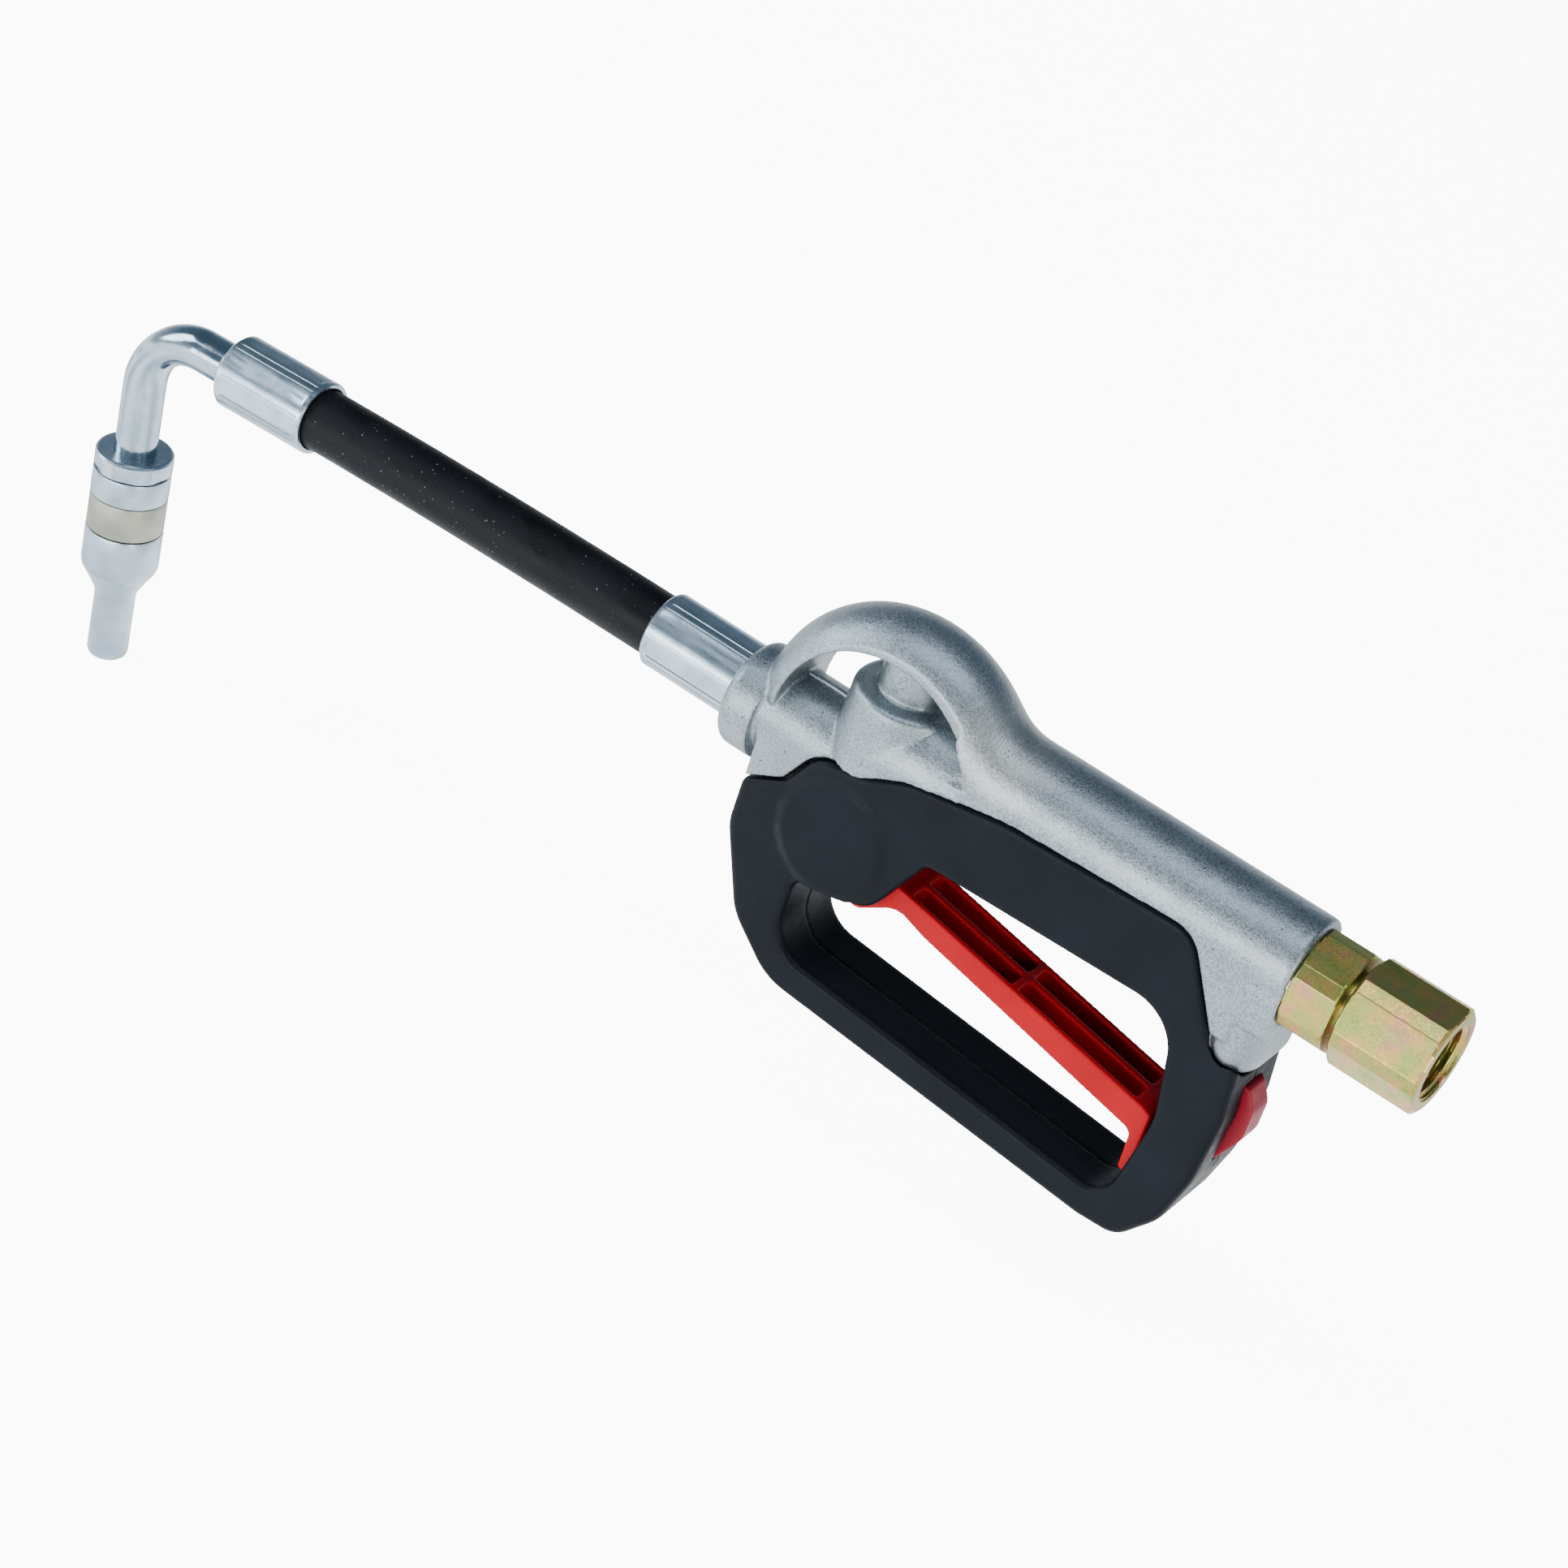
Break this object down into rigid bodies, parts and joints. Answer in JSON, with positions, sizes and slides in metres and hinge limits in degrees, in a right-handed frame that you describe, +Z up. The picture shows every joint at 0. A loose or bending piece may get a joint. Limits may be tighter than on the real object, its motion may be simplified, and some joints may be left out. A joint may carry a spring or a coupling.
{
  "type": "fuel nozzle",
  "caption": "Hand-held trigger control gun for pumped oil or fuel, with a guarded lever, swivel inlet, crimped flexible hose extension, bent steel tube and non-drip tip.",
  "frame": {"origin": "centre of the inlet nut's mouth, on the inlet axis", "axes": "+X out of the inlet along its axis, +Z up from the trigger to the crest of the handle, +Y across the handle to the far half of the guard"},
  "size_m": [0.4198, 0.0314, 0.1576],
  "materials": {
    "cast_aluminium": "bead-blasted die casting",
    "guard_plastic": "moulded, fine matt texture",
    "red_plastic": "moulded, satin",
    "yellow_zinc": "yellow chromate on zinc plate",
    "bright_zinc": "bright zinc plate",
    "satin_zinc": "dull zinc plate",
    "hose_rubber": "wrapped rubber cover",
    "inner_rubber": "nitrile",
    "steel": "turned steel",
    "spring_steel": "drawn wire",
    "brass": "turned brass"
  },
  "bodies": {
    "gun_body": {"body_casting": "cast_aluminium", "valve_seat": "brass", "seat_o_ring": "inner_rubber", "valve_spring": "spring_steel", "gland_nut": "brass", "stem_seal": "inner_rubber", "inlet_adapter": "yellow_zinc", "adapter_seal_washer": "steel", "inlet_strainer": "steel", "swivel_o_ring": "inner_rubber", "guard_near_half": "guard_plastic", "guard_far_half": "guard_plastic", "guard_screws": "steel", "pivot_pin": "steel", "lock_button_spring": "spring_steel", "hose_liner": "inner_rubber", "hose_braid": "spring_steel", "hose_cover": "hose_rubber", "rear_ferrule": "bright_zinc", "rear_hose_fitting": "steel", "outlet_seal_ring": "inner_rubber"},
    "valve": {"valve_stem": "steel", "valve_poppet_seal": "inner_rubber"},
    "inlet_nut": {"swivel_nut": "yellow_zinc", "swivel_snap_ring": "spring_steel"},
    "trigger": {"trigger": "red_plastic", "trigger_roller": "steel", "roller_pin": "steel"},
    "lock_button": {"lock_button": "red_plastic"},
    "hose_end": {"front_ferrule": "bright_zinc", "front_hose_tail": "steel", "elbow_tube": "bright_zinc", "tip_collar": "bright_zinc", "tip_ring": "bright_zinc", "tip_band": "satin_zinc", "tip_o_ring": "inner_rubber", "tip_spring": "spring_steel"},
    "spout": {"spout_sleeve": "bright_zinc"},
    "poppet": {"tip_poppet": "brass"}
  },
  "joints": [
    {"name": "trigger_pull", "type": "hinge", "parent": "gun_body", "child": "trigger", "pos_m": [-0.17, 0, -0.036], "axis": [0, -1, 0], "range_deg": [0, 14], "stiffness_Nm_per_rad": 1.2, "springref_deg": -14.32},
    {"name": "valve_lift", "type": "slide", "parent": "gun_body", "child": "valve", "axis": [0, 0, 1], "range_m": [0, 0.0024], "deforming": ["valve_spring"]},
    {"name": "inlet_swivel", "type": "hinge", "parent": "gun_body", "child": "inlet_nut", "pos_m": [-0.012, 0, 0], "axis": [1, 0, 0], "continuous": true},
    {"name": "lock_press", "type": "slide", "parent": "gun_body", "child": "lock_button", "axis": [-1, 0, 0], "range_m": [0, 0.003], "stiffness_N_per_m": 600, "springref_m": -0.003, "deforming": ["lock_button_spring"]},
    {"name": "hose_flex", "type": "hinge", "parent": "gun_body", "child": "hose_end", "pos_m": [-0.294, 0, -0.0153], "axis": [0, 1, 0], "range_deg": [-15, 15], "stiffness_Nm_per_rad": 12, "deforming": ["hose_liner", "hose_braid", "hose_cover"]},
    {"name": "tip_twist", "type": "hinge", "parent": "hose_end", "child": "spout", "pos_m": [-0.40612, 0, -0.10065], "axis": [0.068, 0, -0.9977], "range_deg": [0, 90]},
    {"name": "tip_open", "type": "slide", "parent": "hose_end", "child": "poppet", "axis": [0.068, 0, -0.9977], "range_m": [0, 0.0025], "stiffness_N_per_m": 300, "springref_m": -0.003, "deforming": ["tip_spring"]}
  ],
  "couplings": [
    {"joint": "valve_lift", "follows": "trigger_pull", "m_per_rad": 0.00981}
  ]
}
